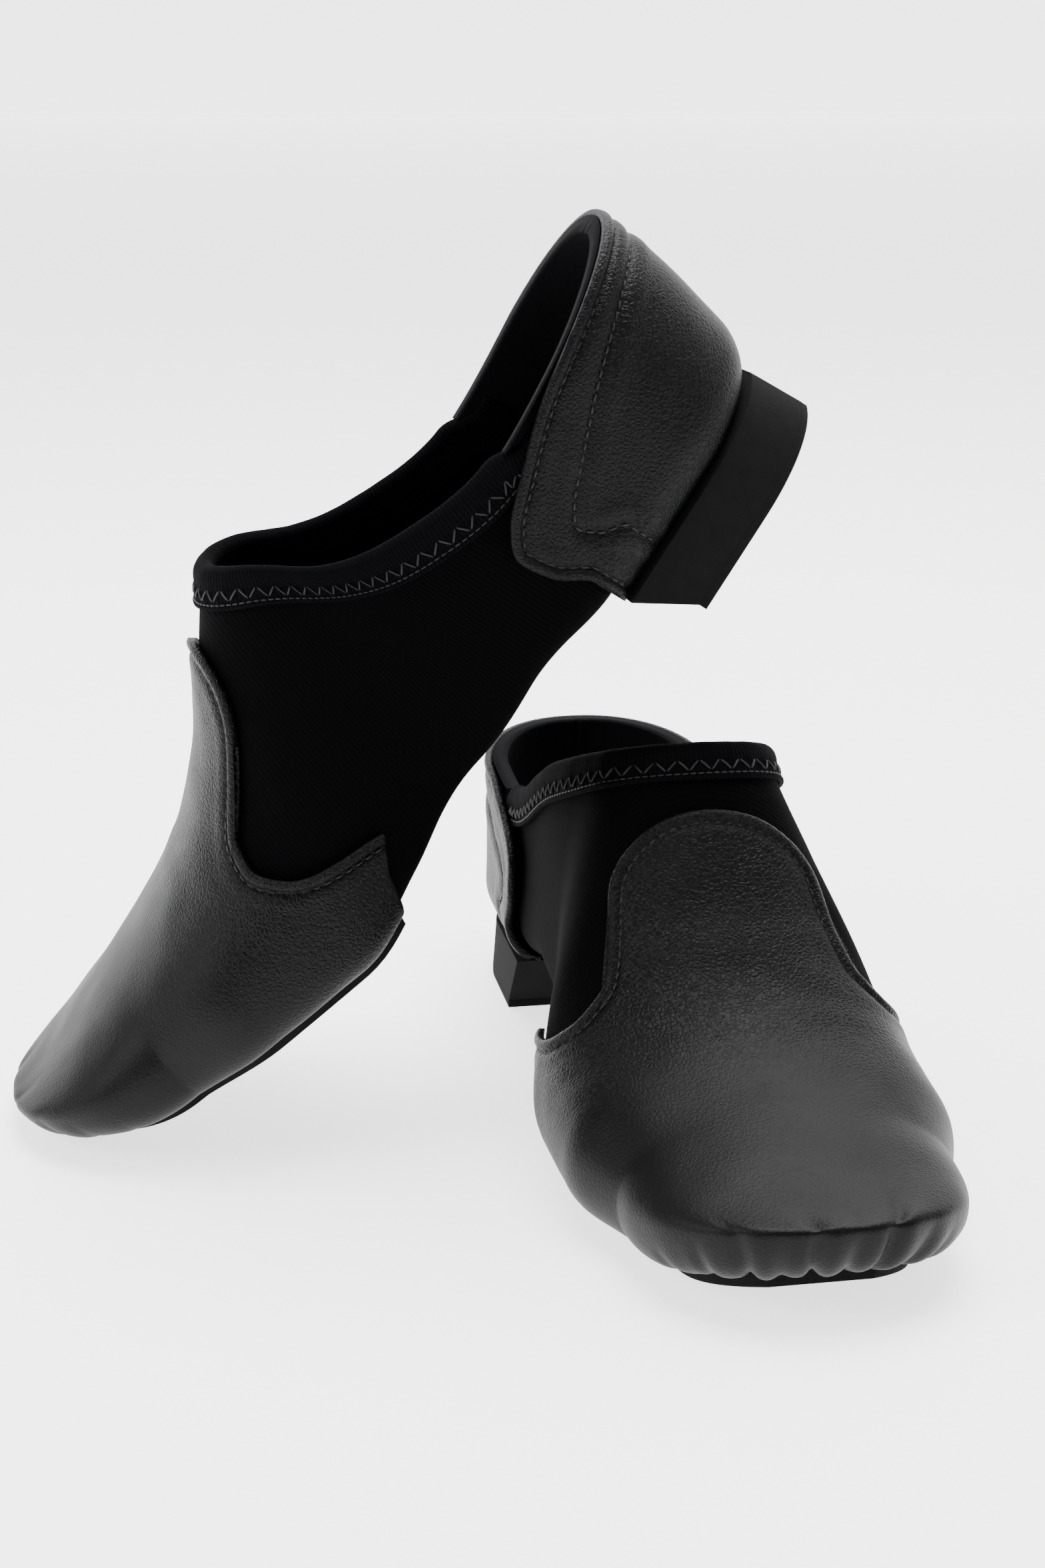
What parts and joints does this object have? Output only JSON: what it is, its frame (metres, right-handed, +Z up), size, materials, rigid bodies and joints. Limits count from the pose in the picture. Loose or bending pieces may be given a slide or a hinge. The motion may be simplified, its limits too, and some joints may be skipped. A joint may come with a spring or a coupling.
{
  "type": "pair of slip-on jazz shoes",
  "caption": "Pair of slip-on jazz dance shoes with leather vamp and heel quarter, stretch sleeve, knitted collar, split sole and low heel; one flat, one raised on its toe.",
  "frame": {"origin": "middle of the pair's bounding box, on the floor that both shoes stand on", "axes": "+Z up, +Y away from the viewer who faces the flat shoe's toe, +X to that viewer's right"},
  "size_m": [0.2202, 0.2572, 0.2146],
  "materials": {
    "leather": "smooth black leather with a fine pebbled grain and a soft satin sheen",
    "stretch_cloth": "matte black neoprene faced with fine ribbed jersey",
    "knit_binding": "ribbed black knit tape with zigzag stitching",
    "lining": "matte black woven lining",
    "sole_suede": "napped black suede",
    "heel_block": "black rubber heel covered in napped suede",
    "insole_board": "fibre board",
    "sock_foam": "brushed black sock over foam"
  },
  "bodies": {
    "right_forefoot": {"right_vamp": "leather", "right_vamp_lining": "lining", "right_stretch_sleeve": "stretch_cloth", "right_collar_binding": "knit_binding", "right_front_sole": "sole_suede", "right_forefoot_board": "insole_board", "right_forefoot_pad": "sock_foam"},
    "right_heel": {"right_heel_quarter": "leather", "right_heel_stiffener": "insole_board", "right_heel_lining": "lining", "right_heel_board": "insole_board", "right_heel_pad": "sock_foam", "right_heel_block": "heel_block", "right_heel_wear_layer": "sole_suede"},
    "left_forefoot": {"left_vamp": "leather", "left_vamp_lining": "lining", "left_stretch_sleeve": "stretch_cloth", "left_collar_binding": "knit_binding", "left_front_sole": "sole_suede", "left_forefoot_board": "insole_board", "left_forefoot_pad": "sock_foam"},
    "left_heel": {"left_heel_quarter": "leather", "left_heel_stiffener": "insole_board", "left_heel_lining": "lining", "left_heel_board": "insole_board", "left_heel_pad": "sock_foam", "left_heel_block": "heel_block", "left_heel_wear_layer": "sole_suede"}
  },
  "joints": [
    {"name": "right_arch_flex", "type": "hinge", "parent": "right_forefoot", "child": "right_heel", "pos_m": [0.04809, 0.02044, 0.0175], "axis": [0.9836, 0.1805, 0], "range_deg": [-30, 25], "stiffness_Nm_per_rad": 1.5, "deforming": ["right_stretch_sleeve", "right_collar_binding"]},
    {"name": "raised_shoe_lift", "type": "slide", "parent": "right_forefoot", "child": "left_forefoot", "axis": [0, 0, 1], "range_m": [0, 0.25]},
    {"name": "left_arch_flex", "type": "hinge", "parent": "left_forefoot", "child": "left_heel", "pos_m": [0.01029, 0.00388, 0.09708], "axis": [0.2204, -0.9754, -0.0096], "range_deg": [-48, 7], "stiffness_Nm_per_rad": 1.5, "deforming": ["left_stretch_sleeve", "left_collar_binding"]}
  ]
}
